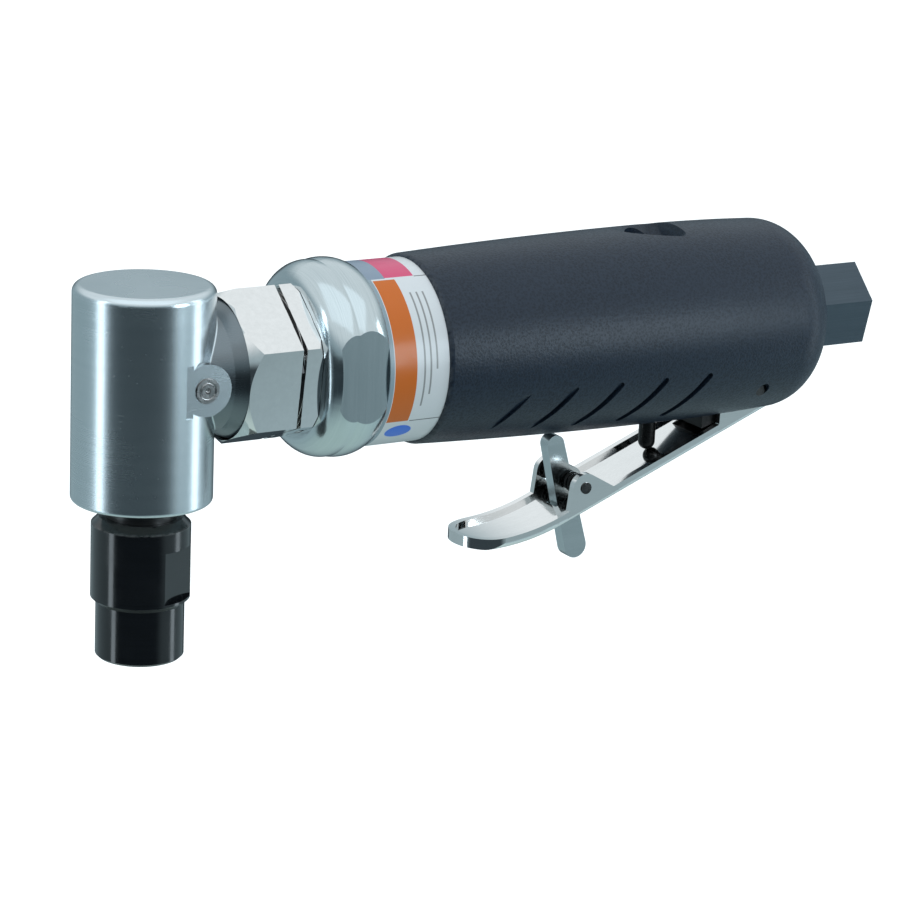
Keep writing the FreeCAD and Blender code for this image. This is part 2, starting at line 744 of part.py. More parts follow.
def wave_washer():
    """A thin ring with raised crests that presses the motor stack together."""
    inner = pinion_bearing[1] + 1.2
    outer = motor_bore_radius - 0.5
    ring = x_rod(outer, motor_bore_x, motor_bore_x + washer_thickness)
    ring = ring.cut(x_rod(inner, motor_bore_x, motor_bore_x + washer_thickness))
    crest = block((motor_bore_x, front_plate_x), (-2.0, 2.0), (inner + 0.2, outer - 0.3))
    crests = [crest.rotated(ORIGIN, X_AXIS, 360.0 / washer_crests * index) for index in range(washer_crests)]
    return fused(ring, *crests)


def cylinder_liner():
    body = motor_slug(cylinder_x, rear_plate_x)
    cutters = [x_rod(cylinder_bore_radius, cylinder_x, rear_plate_x, z=rotor_offset)]
    cutters += [dowel_at(cylinder_x), dowel_at(rear_plate_x)]
    port = block((0, 2.2), (-1.2, 1.2), (0, 2 * motor_bore_radius))
    first_x = (cylinder_x + rear_plate_x - port_pitch * (port_count - 1)) / 2 - 0.5
    for index in range(port_count):
        moved = port.translated(Vector(first_x + port_pitch * index, 0, 0))
        cutters += [moved.rotated(ORIGIN, X_AXIS, angle) for angle in (60, 90)]
    return body.cut(cutters)


def rear_plate():
    body = motor_slug(rear_plate_x, motor_end_x)
    pocket = x_rod(rotor_bearing[1], motor_end_x - rotor_bearing[2], motor_end_x)
    hole = x_rod(rotor_shaft_radius + free_gap, rear_plate_x, motor_end_x)
    cutters = [pocket, hole, dowel_at(rear_plate_x)]
    distance = cylinder_bore_radius - 1.6
    for index in range(4):
        angle = math.radians(186 + 14 * index)
        y, z = distance * math.sin(angle), distance * math.cos(angle)
        cutters.append(x_rod(1.5, rear_plate_x, motor_end_x, z, y))
    return body.cut(cutters)


def dowels():
    """Two pins that stop the cylinder turning against the end plates."""
    return Part.makeCompound([dowel_at(cylinder_x), dowel_at(rear_plate_x)])


def motor_gasket():
    ring = motor_slug(motor_end_x, valve_housing_front_x)
    return ring.cut(x_rod(rotor_bearing[1] - 0.5, motor_end_x, valve_housing_front_x))


def rotor():
    body = x_rod(rotor_radius, cylinder_x + rotor_end_gap, rear_plate_x - rotor_end_gap)
    front_end = pinion_shaft_end_x + free_gap
    shaft = x_rod(rotor_shaft_radius, front_end, motor_end_x)
    drive_start = pinion_shaft_end_x - drive_hex_depth + free_gap
    drive = x_hexagon(drive_hex_flats - 2 * running_gap, drive_start, front_end + bury)
    body = fused(body, shaft, drive)
    for index in range(vane_count):
        body = body.cut(vane_slot(index, running_gap))
    return body


def vane_slot(index, gap):
    slot = block(
        (cylinder_x, rear_plate_x),
        (-vane_thickness / 2 - gap, vane_thickness / 2 + gap),
        (rotor_radius - vane_height - gap, rotor_radius + 1),
    )
    return slot.rotated(ORIGIN, X_AXIS, 360.0 / vane_count * index)


def vanes():
    """The vanes, at the bottom of their slots."""
    blades = []
    for index in range(vane_count):
        blade = block(
            (cylinder_x + 0.2, rear_plate_x - 0.2),
            (-vane_thickness / 2, vane_thickness / 2),
            (rotor_radius - vane_height, rotor_radius - 0.1),
        )
        blades.append(blade.rotated(ORIGIN, X_AXIS, 360.0 / vane_count * index))
    return Part.makeCompound(blades)


# ---------------------------------------------------------------- grip
def grip():
    front = Vector(grip_front_x, 0, grip_front_radius)
    belly = Vector(grip_belly_x, 0, grip_belly_radius)
    shoulder = Vector(grip_shoulder_x, 0, grip_shoulder_radius)
    rear = Vector(grip_rear_x, 0, grip_rear_radius)
    middle_x = (grip_front_x + grip_belly_x) / 2
    flank = Vector(middle_x, 0, grip_front_radius + 0.72 * (grip_belly_radius - grip_front_radius))
    back = Vector((grip_belly_x + grip_shoulder_x) / 2, 0, grip_belly_radius - 0.13)
    corner = Vector(grip_rear_x - 3.0, 0, grip_shoulder_radius - 3.1)
    edges = [Part.Arc(front, flank, belly).toShape(), Part.Arc(belly, back, shoulder).toShape()]
    edges.append(Part.Arc(shoulder, corner, rear).toShape())
    corners = [rear, Vector(grip_rear_x, 0, 0), Vector(grip_front_x, 0, 0), front]
    edges += [Part.LineSegment(a, b).toShape() for a, b in zip(corners, corners[1:])]
    body = turned_wire(edges, X_AXIS)
    rim = [e for e in body.Edges if abs(e.BoundBox.XMax - grip_front_x) < 1e-6]
    body = body.makeFillet(grip_front_round, rim)

    inner = grip_seat_radius + assembly_gap
    core = x_turned([
        (grip_front_x, 0),
        (grip_front_x, inner),
        (valve_housing_shoulder_x, inner),
        (valve_housing_rear_x, grip_rear_radius + 1.6),
        (valve_housing_rear_x, grip_rear_radius),
        (grip_rear_x, grip_rear_radius),
        (grip_rear_x, 0),
    ])
    cutters = [core, scoop(), lever_clearance(), pivot_hole(), lever_lug()]
    cutters.append(knob_clearance())
    cutters.append(z_rod(stem_radius + 2 * free_gap, below_all, 0, valve_x))
    cutters += grip_grooves()
    return body.cut(cutters)


def grip_grooves():
    """Slanted finger grooves, each a bar cut square into the surface, mirrored on both sides."""
    grooves = []
    floor = grip_belly_radius - groove_depth
    for index in range(groove_count):
        half = groove_length / 2 - groove_width / 2
        bar = block((-groove_width / 2, groove_width / 2), (-half, half), (floor, floor + 6))
        ends = [z_rod(groove_width / 2, floor, floor + 6, 0, end) for end in (-half, half)]
        bar = fused(bar, *ends)
        for side in (-1, 1):
            turned = bar.rotated(ORIGIN, Z_AXIS, side * groove_slant)
            turned = turned.rotated(ORIGIN, X_AXIS, side * -(90 + groove_angle))
            grooves.append(turned.translated(Vector(groove_first_x + groove_pitch * index, 0, 0)))
    return grooves


def scoop():
    """The thumb scoop: a round cutter driven in from the front at a low slope."""
    slope = math.radians(scoop_slope)
    direction = Vector(-math.cos(slope), 0, math.sin(slope))
    rise = Vector(math.sin(slope), 0, math.cos(slope)) * scoop_radius
    cutter = cylinder(scoop_radius, 40.0, Vector(scoop_end_x, 0, scoop_end_z) + rise, direction)
    rear = [e for e in cutter.Edges if e.Closed and abs(e.CenterOfMass.x - (scoop_end_x + rise.x)) < 0.5]
    return cutter.makeFillet(scoop_round, rear)


def lever_clearance():
    """Everything that the throttle lever's rear end sweeps, seen from the side."""
    reach = lever_floor_drop - stop_gap
    squeezed = math.radians(lever_slope - lever_travel)
    rest = math.radians(lever_slope)
    front_x = lug_front_x - 1.0
    rear_x = pivot_x + lever_rear_reach + 5.0
    meet_x = pivot_x + reach * math.sin((squeezed + rest) / 2)
    front_z = pivot_z - reach / math.cos(squeezed) + (front_x - pivot_x) * math.tan(squeezed)
    meet_z = pivot_z - reach / math.cos(squeezed) + (meet_x - pivot_x) * math.tan(squeezed)
    rear_z = pivot_z - reach / math.cos(rest) + (rear_x - pivot_x) * math.tan(rest)
    half = lever_half_width + free_gap
    top = [(front_x, front_z), (meet_x, meet_z), (rear_x, rear_z)]
    under = xz_plate(top + [(rear_x, below_all), (front_x, below_all)], half)
    slots = []
    ear_top = pivot_z + rear_ear_radius + free_gap
    recess_x = lug_front_x + lug_face_relief
    for side in (-1, 1):
        reach_y = sorted((side * lug_half_width, side * half))
        slots.append(block((recess_x, rear_x), reach_y, (below_all, ear_top)))
        slots.append(block((front_x, recess_x), reach_y, (below_all, front_z + lug_corner_relief)))
    return fused(under, *slots)


def pivot_hole():
    return y_rod(pivot_pin_radius, 2 * grip_belly_radius, pivot_x, pivot_z)


# ---------------------------------------------------------------- valve housing
def valve_housing():
    """The block that carries the throttle valve, the regulator, the lever and the air inlet."""
    body = x_turned([
        (valve_housing_front_x, 0),
        (valve_housing_front_x, housing_thread_radius),
        (housing_rear_x, housing_thread_radius),
        (housing_rear_x, grip_seat_radius),
        (valve_housing_shoulder_x, grip_seat_radius),
        (valve_housing_rear_x - 3.0, grip_rear_radius + 0.4),
        (valve_housing_rear_x - 3.0, 0),
    ])
    body = fused(body, lever_lug()).cut([lever_clearance(), pivot_hole(), scoop()])
    entry_x = valve_housing_front_x + 2.0
    entry = x_rod(rotor_bearing[1] - 1.0, valve_housing_front_x, entry_x)
    entry_slot = block((valve_housing_front_x, entry_x), (-3.0, 3.0), (air_passage_z - 1.0, 0))
    cutters = [
        z_rod(valve_bore_radius, below_all, valve_bore_top_z, valve_x),
        x_rod(inlet_seat_radius, inlet_bushing_x, grip_rear_x),
        x_rod(inlet_passage_radius, valve_x, inlet_bushing_x, z=-1.0),
        x_rod(air_passage_radius, valve_housing_front_x, valve_x, z=air_passage_z),
        entry.fuse(entry_slot),
        regulator_rod(regulator_radius, 0, regulator_length),
        knob_clearance(),
    ]
    for side in (-1, 1):
        depth = sorted((side * (grip_seat_radius - 2.0), side * (grip_seat_radius + 0.6)))
        cutters.append(block((housing_rear_x + 2, valve_housing_rear_x), depth, (-3.5, 3.5)))
    return body.cut(cutters)


def lever_lug():
    """The block between the lever's rear ears, long enough to be trimmed to the lever's floor."""
    return block(
        (lug_front_x, pivot_x + lever_rear_reach + 4.0),
        (-lug_half_width, lug_half_width),
        (-grip_belly_radius - 3.0, pivot_z + pivot_pin_radius),
    )


def regulator_axis():
    slope = math.radians(scoop_slope)
    return Vector(math.sin(slope), 0, math.cos(slope))


def regulator_rod(radius, depth_from, depth_to):
    """A rod on the regulator's axis, measured down from the scoop's floor."""
    down = regulator_axis() * -1
    start = Vector(regulator_x, 0, regulator_z) + down * depth_from
    return cylinder(radius, depth_to - depth_from, start, down)


def knob_clearance():
    """The round recess that the regulator's knob turns in."""
    return regulator_rod(regulator_knob_radius + free_gap, -10.0, regulator_seat + assembly_gap)


def power_regulator():
    """A rotary plug with a slotted knob; its cross hole meets the motor's air passage."""
    plug = regulator_rod(regulator_radius - running_gap, 0, regulator_length - free_gap)
    knob = regulator_rod(regulator_knob_radius, regulator_seat - regulator_knob_height, regulator_seat)
    floor = Vector(regulator_x, 0, regulator_z)
    slot_floor = floor + regulator_axis() * (regulator_knob_height - regulator_seat - regulator_slot)
    reach = (-2 * regulator_knob_radius, 2 * regulator_knob_radius)
    slot = block(reach, (-regulator_slot / 2, regulator_slot / 2), (0, 2 * regulator_slot))
    turn = FreeCAD.Placement(slot_floor, FreeCAD.Rotation(Z_AXIS, regulator_axis()))
    crossing_depth = (regulator_z - air_passage_z) / math.cos(math.radians(scoop_slope))
    crossing = floor - regulator_axis() * crossing_depth
    hole = cylinder(air_passage_radius - 0.2, 20.0, crossing - X_AXIS * 10.0, X_AXIS)
    return fused(plug, knob).cut([slot.transformed(turn.toMatrix()), hole])


# ---------------------------------------------------------------- throttle valve
def valve_bush():
    """The guide that the stem slides in, with the valve's seat on top."""
    bottom = -math.sqrt(grip_seat_radius ** 2 - valve_bore_radius ** 2)
    body = z_rod(valve_bore_radius, bottom, valve_seat_z, valve_x)
    guide = z_rod(stem_radius + running_gap, bottom, valve_seat_z, valve_x)
    air_space = z_rod(stem_radius + 0.9, valve_seat_z - 4.5, valve_seat_z, valve_x)
    ports = x_rod(1.5, valve_x - valve_bore_radius, valve_x + valve_bore_radius, z=air_passage_z)
    return body.cut([guide, air_space, ports])


def stem_centre_z():
    """Centre of the stem's round tip, which stands just clear of the lever's floor."""
    slope = math.radians(lever_slope)
    return lever_line(lever_sheet, valve_x) + (stem_radius + stem_gap) / math.cos(slope)


def valve_stem():
    head_z = valve_seat_z + seal_height
    stem = z_rod(stem_radius, stem_centre_z(), head_z + bury, valve_x)
    tip = Part.makeSphere(stem_radius, Vector(valve_x, 0, stem_centre_z()))
    head = z_rod(valve_head_radius, head_z, head_z + valve_head_height, valve_x)
    return fused(stem, tip, head)


def valve_seal():
    """The rubber face ring under the valve's head."""
    bottom = valve_seat_z + contact_gap
    top = valve_seat_z + seal_height
    disc = z_rod(valve_head_radius - assembly_gap, bottom, top, valve_x)
    return disc.cut(z_rod(stem_radius, bottom, top, valve_x))


def valve_spring():
    """A square-wire spring between the valve's head and the top of its bore."""
    coil_radius = valve_head_radius - spring_wire
    start = valve_seat_z + seal_height + valve_head_height + spring_wire / 2 + contact_gap
    end = valve_bore_top_z - spring_wire / 2 - contact_gap
    section = square_wire(spring_wire, coil_radius)
    coil = spring(section, coil_radius, spring_turns, (end - start) / spring_turns)
    return coil.translated(Vector(valve_x, 0, start))


# ---------------------------------------------------------------- air inlet
def inlet_bushing():
    """The hexagonal bushing with the air inlet's thread, whose shank seats in the valve housing."""
    body = x_hexagon(inlet_flats, inlet_hex_x, inlet_end_x, inlet_turn)
    body = fused(body, x_rod(inlet_seat_radius, inlet_bushing_x, inlet_hex_x))
    bore = x_rod(inlet_thread_radius, thread_end_x, inlet_end_x)
    screen_seat = x_rod(inlet_thread_radius - screen_step, thread_end_x - screen_depth, thread_end_x)
    return body.cut([bore, screen_seat, x_rod(inlet_bore_radius, inlet_bushing_x, thread_end_x)])


def inlet_screen():
    """A thin drilled cup at the bottom of the inlet thread."""
    radius = inlet_thread_radius - screen_step
    start = thread_end_x - screen_depth
    cup = x_rod(radius, start, thread_end_x)
    cup = cup.cut(x_rod(radius - screen_thickness, start + screen_thickness, thread_end_x))
    holes = [x_rod(screen_hole_radius, start - 1, thread_end_x)]
    for index in range(screen_holes):
        angle = 2 * math.pi * index / screen_holes
        y, z = radius / 2 * math.cos(angle), radius / 2 * math.sin(angle)
        holes.append(x_rod(screen_hole_radius, start - 1, thread_end_x, z, y))
    return cup.cut(holes)


def exhaust_diffuser():
    """The porous ring between the inlet bushing and the grip's rear opening."""
    end = grip_rear_x - diffuser_recess
    ring = x_rod(grip_rear_radius - assembly_gap, end - diffuser_width, end)
    return ring.cut(x_rod(inlet_seat_radius, end - diffuser_width, end))


# ---------------------------------------------------------------- throttle lever
def lever_line(offset, x):
    """Height of a line parallel to the lever's straight floor, this far above its underside."""
    slope = math.radians(lever_slope)
    return pivot_z - (lever_drop - offset) / math.cos(slope) + (x - pivot_x) * math.tan(slope)


def lever_edge(offset):
    """The lever's side outline at this height above its underside, from the rear to the tip."""
    slope = math.radians(lever_slope)
    rear = Vector(pivot_x + lever_drop * math.sin(slope) + lever_rear_reach * math.cos(slope), 0, 0)
    rear.z = lever_line(0, rear.x)
    normal = Vector(-math.sin(slope), 0, math.cos(slope))
    bend = Vector(lever_bow_x, 0, lever_line(0, lever_bow_x))
    centre = bend + normal * lever_bow_radius
    radius = lever_bow_radius - offset

    def on_bow(angle):
        return centre + Vector(math.sin(angle), 0, -math.cos(angle)) * radius

    tip_angle = math.asin((lever_tip_x - centre.x) / lever_bow_radius)
    straight = Part.LineSegment(rear + normal * offset, bend + normal * offset).toShape()
    bow = Part.Arc(on_bow(slope), on_bow((slope + tip_angle) / 2), on_bow(tip_angle)).toShape()
    return [straight, bow], rear + normal * offset, on_bow(tip_angle)


def lever_strip(low, high, half_width):
    """The lever's floor line thickened from one height to another, across its width."""
    lower, lower_rear, lower_tip = lever_edge(low)
    upper, upper_rear, upper_tip = lever_edge(high)
    sides = [
        Part.LineSegment(lower_tip, upper_tip).toShape(),
        Part.LineSegment(lower_rear, upper_rear).toShape(),
    ]
    wire = Part.Wire(Part.__sortEdges__(lower + upper + sides))
    strip = Part.Face(wire).extrude(Vector(0, 2 * half_width, 0))
    return strip.translated(Vector(0, -half_width, 0))


def lever_plan(half_width, tip_x):
    """The lever seen from above: straight sides and a round tip."""
    depth = (mouth_z, 0)
    straight = block((tip_x + half_width, inlet_end_x), (-half_width, half_width), depth)
    return fused(z_rod(half_width, *depth, tip_x + half_width), straight)


def throttle_lever():
    outside = rounded_underside(lever_strip(0, lever_wall_height, lever_half_width))
    outside = outside.common(lever_plan(lever_half_width, lever_tip_x))
    inner_half = lever_half_width - lever_sheet
    inside = lever_strip(lever_sheet, 4 * lever_wall_height, inner_half)
    inside = inside.common(lever_plan(inner_half, lever_tip_x + lever_sheet))
    tray = outside.cut(inside)

    slope = math.radians(lever_slope)
    foot_x = pivot_x + lever_drop * math.sin(slope)
    pin_foot_x = lock_foot_x()
    ears = []
    for side in (-1, 1):
        y = side * (lever_half_width - lever_sheet / 2)
        for x, centre, radius, feet in (
            (foot_x, (pivot_x, pivot_z), rear_ear_radius, rear_ear_feet),
            (pin_foot_x, (lock_pin_x, lock_pin_z), front_ear_radius, front_ear_feet),
        ):
            rear, front = [(x + foot, lever_line(ear_foot_height, x + foot)) for foot in feet]
            ears.append(ear_plate(rear, front, centre, radius, lever_sheet / 2, y))
    body = fused(tray, *ears)
    slot_x = [pin_foot_x - lock_slot_front * math.cos(slope), pin_foot_x + lock_slot_rear * math.cos(slope)]
    half_slot = lock_thickness / 2 + lock_slot_gap
    slot = xz_plate([
        (slot_x[0], lever_line(-2, slot_x[0])),
        (slot_x[1], lever_line(-2, slot_x[1])),
        (slot_x[1], lever_line(3, slot_x[1])),
        (slot_x[0], lever_line(3, slot_x[0])),
    ], half_slot)
    pin_hole = y_rod(lock_pin_radius, lever_half_width, lock_pin_x, lock_pin_z)
    pivot_bore = y_rod(pivot_pin_radius + running_gap, lever_half_width, pivot_x, pivot_z)
    return body.cut([slot, pin_hole, pivot_bore])


def rounded_underside(strip):
    """Rounds the pressed bends along the strip's two lower edges."""
    bends = []
    for edge in strip.Edges:
        middle = edge.valueAt((edge.FirstParameter + edge.LastParameter) / 2)
        if on_underside(middle) and abs(middle.y) > lever_half_width - 0.01:
            bends.append(edge)
    return strip.makeFillet(lever_bend_round, bends)


def on_underside(point):
    slope = math.radians(lever_slope)
    if point.x > lever_bow_x:
        return abs(point.z - lever_line(0, point.x)) < 0.01
    bend = Vector(lever_bow_x, 0, lever_line(0, lever_bow_x))
    centre = bend + Vector(-math.sin(slope), 0, math.cos(slope)) * lever_bow_radius
    return abs(math.hypot(point.x - centre.x, point.z - centre.z) - lever_bow_radius) < 0.01


def lock_foot_x():
    """Where a square from the lock pin meets the lever's underside."""
    slope = math.radians(lever_slope)
    drop = (lock_pin_z - lever_line(0, lock_pin_x)) * math.cos(slope)
    return lock_pin_x + drop * math.sin(slope)


def lever_pin():
    """The lever's pivot pin, which ends just inside the grip's surface."""
    reach = math.sqrt(grip_shoulder_radius ** 2 - pivot_z ** 2) - 0.5
    return y_rod(pivot_pin_radius, reach, pivot_x, pivot_z)


# ---------------------------------------------------------------- lock-off lever
def bar_plate(start, end, start_width, end_width, half_width):
    """A flat bar with round ends between two (x, z) points."""
    dx = end[0] - start[0]
    dz = end[1] - start[1]
    length = math.hypot(dx, dz)
    side = (-dz / length / 2, dx / length / 2)
    outline = [
        (start[0] + side[0] * start_width, start[1] + side[1] * start_width),
        (end[0] + side[0] * end_width, end[1] + side[1] * end_width),
        (end[0] - side[0] * end_width, end[1] - side[1] * end_width),
        (start[0] - side[0] * start_width, start[1] - side[1] * start_width),
    ]
    return fused(
        xz_plate(outline, half_width),
        y_rod(start_width / 2, half_width, *start),
        y_rod(end_width / 2, half_width, *end),
    )


def lock_lever():
    half = lock_thickness / 2
    body = bar_plate(lock_upper_tip, lock_lower_tip, lock_upper_width, lock_lower_width, half)
    body = fused(body, y_rod(lock_eye_radius, half, lock_pin_x, lock_pin_z))
    return body.cut(y_rod(lock_pin_radius + running_gap, half, lock_pin_x, lock_pin_z))


def lock_pin():
    return y_rod(lock_pin_radius, lever_half_width + 0.2, lock_pin_x, lock_pin_z)


def torsion_spring():
    """Two coils round the lock pin, one each side of the lock lever."""
    coil_radius = lock_pin_radius + torsion_wire / 2 + 0.15
    inner = lock_thickness / 2 + torsion_wire / 2 + 0.25
    outer = lever_half_width - lever_sheet - torsion_wire / 2 - assembly_gap
    pitch = (outer - inner) / torsion_turns
    coils = []
    for side in (-1, 1):
        coil = spring(round_wire(torsion_wire / 2, coil_radius), coil_radius, torsion_turns, pitch)
        coil = coil.rotated(ORIGIN, X_AXIS, side * -90)
        coils.append(coil.translated(Vector(lock_pin_x, side * inner, lock_pin_z)))
    return Part.makeCompound(coils)


# ---------------------------------------------------------------- writing the parts
def save(name, shape):
    raised = shape.translated(Vector(0, 0, motor_axis_height))
    raised.exportStep("parts/" + name + ".step")


def save_bearing(name, sizes, axis, middle):
    inner, balls, outer = bearing(sizes, axis, middle)
    save(name + "_inner_ring", inner)
    save(name + "_balls", balls)
    save(name + "_outer_ring", outer)


def main():
    os.makedirs("parts", exist_ok=True)
    pieces = {
        "angle_head": angle_head,
        "grease_fitting": grease_fitting,
        "head_cap": head_cap,
        "spindle": spindle,
        "collet": collet,
        "collet_nut": collet_nut,
        "crown_gear": crown_gear,
        "bevel_pinion": bevel_pinion,
        "pinion_spacer": pinion_spacer,
        "pinion_clamp_ring": pinion_clamp_ring,
        "coupling_nut": coupling_nut,
        "neck_ring": neck_ring,
        "motor_housing": motor_housing,
        "label_band": label_band,
        "front_plate": front_plate,
        "wave_washer": wave_washer,
        "cylinder_liner": cylinder_liner,
        "rear_plate": rear_plate,
        "dowels": dowels,
        "motor_gasket": motor_gasket,
        "rotor": rotor,
        "vanes": vanes,
        "grip": grip,
        "valve_housing": valve_housing,
        "power_regulator": power_regulator,
        "valve_bush": valve_bush,
        "valve_stem": valve_stem,
        "valve_seal": valve_seal,
        "valve_spring": valve_spring,
        "inlet_bushing": inlet_bushing,
        "inlet_screen": inlet_screen,
        "exhaust_diffuser": exhaust_diffuser,
        "throttle_lever": throttle_lever,
        "lever_pin": lever_pin,
        "lock_lever": lock_lever,
        "lock_pin": lock_pin,
        "torsion_spring": torsion_spring,
    }
    for name, make in pieces.items():
        save(name, make())
    save_bearing("upper_spindle_bearing", upper_bearing, Z_AXIS, Vector(0, 0, upper_bearing_z))
    save_bearing("lower_spindle_bearing", lower_bearing, Z_AXIS, Vector(0, 0, lower_bearing_z))
    front_x = front_plate_x + rotor_bearing[2] / 2
    rear_x = motor_end_x - rotor_bearing[2] / 2
    save_bearing("pinion_front_bearing", pinion_bearing, X_AXIS, Vector(pinion_front_bearing_x, 0, 0))
    save_bearing("pinion_rear_bearing", pinion_bearing, X_AXIS, Vector(pinion_rear_bearing_x, 0, 0))
    save_bearing("rotor_front_bearing", rotor_bearing, X_AXIS, Vector(front_x, 0, 0))
    save_bearing("rotor_rear_bearing", rotor_bearing, X_AXIS, Vector(rear_x, 0, 0))


main()
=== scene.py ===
"""Looks of a right-angle air die grinder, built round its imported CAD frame.

Sizes are in millimetres about the frame's origin, the centre of the collet's mouth, with +Z up the
spindle and +X from the angle head to the air inlet. The camera, the lights and the floor are in
metres, and so are the meshes."""

import json
import math

import bmesh
import bpy
from mathutils import Matrix, Vector


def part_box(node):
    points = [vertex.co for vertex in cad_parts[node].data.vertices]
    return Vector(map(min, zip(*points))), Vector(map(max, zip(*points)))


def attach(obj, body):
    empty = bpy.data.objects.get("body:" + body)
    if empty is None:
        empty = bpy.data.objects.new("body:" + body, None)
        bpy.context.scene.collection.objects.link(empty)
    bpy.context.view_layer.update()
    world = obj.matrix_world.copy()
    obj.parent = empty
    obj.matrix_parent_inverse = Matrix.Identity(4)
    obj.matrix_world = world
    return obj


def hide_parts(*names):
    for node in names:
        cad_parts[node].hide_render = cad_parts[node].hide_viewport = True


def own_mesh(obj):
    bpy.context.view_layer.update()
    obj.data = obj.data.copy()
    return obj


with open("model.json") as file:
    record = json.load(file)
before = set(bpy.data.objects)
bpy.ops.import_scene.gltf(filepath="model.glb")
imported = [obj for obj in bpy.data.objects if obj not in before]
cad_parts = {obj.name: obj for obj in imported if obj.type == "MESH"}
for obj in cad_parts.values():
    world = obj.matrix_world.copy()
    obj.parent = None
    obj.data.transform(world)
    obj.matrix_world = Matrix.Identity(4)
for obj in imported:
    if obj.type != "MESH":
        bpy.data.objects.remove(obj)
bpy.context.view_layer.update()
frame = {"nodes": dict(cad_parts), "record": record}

MM = 0.001
MICRON = 1e-6


def side_of(node, corner, axis):
    """One coordinate, in millimetres, of a CAD node's lowest (0) or highest (1) corner."""
    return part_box(node)[corner]["XYZ".index(axis)] / MM


MOTOR_AXIS_Z = (side_of("motor_housing", 0, "Z") + side_of("motor_housing", 1, "Z")) / 2
BAND_FRONT_X = side_of("label_band", 0, "X")
BAND_REAR_X = side_of("label_band", 1, "X")
GRIP_FRONT_X = side_of("grip", 0, "X")
GRIP_REAR_X = side_of("grip", 1, "X")


# ---------------------------------------------------------------- node trees
class Tree:
    """Adds nodes to a material or a group, with a short call for each kind that is used often."""

    def __init__(self, tree):
        self.nodes = tree.nodes
        self.links = tree.links

    def add(self, kind, settings=None, values=None):
        """One node; settings are its properties, values its sockets' numbers or links."""
        node = self.nodes.new(kind)
        for name, value in (settings or {}).items():
            setattr(node, name, value)
        for name, value in (values or {}).items():
            self.join(value, node.inputs[name])
        return node

    def join(self, value, socket):
        if isinstance(value, bpy.types.NodeSocket):
            self.links.new(value, socket)
        else:
            socket.default_value = value

    def math(self, operation, first, second=0.0):
        values = {0: first, 1: second}
        return self.add("ShaderNodeMath", {"operation": operation}, values).outputs[0]

    def distance(self, first, second):
        """How far a point is from an axis: the root of its two coordinates' squares added up."""
        squares = [self.math("POWER", side, 2.0) for side in (first, second)]
        return self.math("SQRT", self.math("ADD", *squares))

    def vector(self, operation, first, second):
        values = {0: first, 1: second}
        return self.add("ShaderNodeVectorMath", {"operation": operation}, values).outputs[0]

    def position(self):
        """Object coordinates in millimetres."""
        place = self.add("ShaderNodeTexCoord").outputs["Object"]
        return self.vector("MULTIPLY", place, (1 / MM, 1 / MM, 1 / MM))

    def split(self, vector):
        return self.add("ShaderNodeSeparateXYZ", None, {0: vector}).outputs

    def noise(self, vector, scale, detail=2.0, roughness=0.5):
        values = {"Vector": vector, "Scale": scale, "Detail": detail, "Roughness": roughness}
        return self.add("ShaderNodeTexNoise", None, values).outputs["Fac"]

    def cells(self, vector, scale):
        values = {"Vector": vector, "Scale": scale}
        return self.add("ShaderNodeTexVoronoi", None, values).outputs["Distance"]

    def remap(self, value, low, high, to_low=0.0, to_high=1.0):
        values = {"Value": value, "From Min": low, "From Max": high,
                  "To Min": to_low, "To Max": to_high}
        smooth = {"interpolation_type": "SMOOTHSTEP"}
        return self.add("ShaderNodeMapRange", smooth, values).outputs["Result"]

    def blend(self, mask, first, second):
        node = self.add("ShaderNodeMix", {"data_type": "RGBA"})
        self.join(mask, node.inputs["Factor"])
        self.join(first, node.inputs[6])
        self.join(second, node.inputs[7])
        return node.outputs[2]

    def group(self, tree, values):
        node = self.add("ShaderNodeGroup", {"node_tree": tree})
        for name, value in values.items():
            self.join(value, node.inputs[name])
        return node.outputs

    def bump(self, height, strength, distance):
        values = {"Height": height, "Strength": strength, "Distance": distance}
        return self.add("ShaderNodeBump", None, values).outputs["Normal"]


def effect(name, inputs, outputs, build):
    """A shader node group; inputs are (name, socket type, default), outputs (name, socket type)."""
    tree = bpy.data.node_groups.new(name, "ShaderNodeTree")
    for label, kind, default in inputs:
        socket = tree.interface.new_socket(label, in_out="INPUT", socket_type=kind)
        if default is not None:
            socket.default_value = default
    for label, kind in outputs:
        tree.interface.new_socket(label, in_out="OUTPUT", socket_type=kind)
    nodes = Tree(tree)
    entry = nodes.add("NodeGroupInput")
    finish = nodes.add("NodeGroupOutput")
    for label, value in build(nodes, entry.outputs).items():
        nodes.join(value, finish.inputs[label])
    return tree


NUMBER = "NodeSocketFloat"
PLACE = "NodeSocketVector"


def tool_marks(nodes, given):
    """Fine lines left by turning or brushing: noise squeezed across them and drawn out along them."""
    squeezed = nodes.vector("MULTIPLY", given["Position"], given["Across"])
    lines = nodes.noise(squeezed, 1.0, 4.0, 0.65)
    broad = nodes.noise(squeezed, 0.12, 2.0)
    both = nodes.math("ADD", nodes.math("MULTIPLY", lines, 0.7), nodes.math("MULTIPLY", broad, 0.3))
    return {"Lines": nodes.remap(both, 0.3, 0.7)}


def handling(nodes, given):
    """Smudges and small scuffs of use: soft clouds, and thin threads cut from stretched noise."""
    clouds = nodes.noise(given["Position"], nodes.math("DIVIDE", 1.0, given["Size"]), 3.0, 0.6)
    slanted = nodes.add("ShaderNodeMapping", None, {"Vector": given["Position"]})
    slanted.inputs["Rotation"].default_value = (0.4, 0.9, 0.5)
    slanted.inputs["Scale"].default_value = (0.12, 2.6, 2.6)
    threads = nodes.noise(slanted.outputs["Vector"], 1.0, 2.0)
    return {
        "Smudges": nodes.remap(clouds, 0.42, 0.68),
        "Scuffs": nodes.remap(threads, 0.72, 0.80),
    }


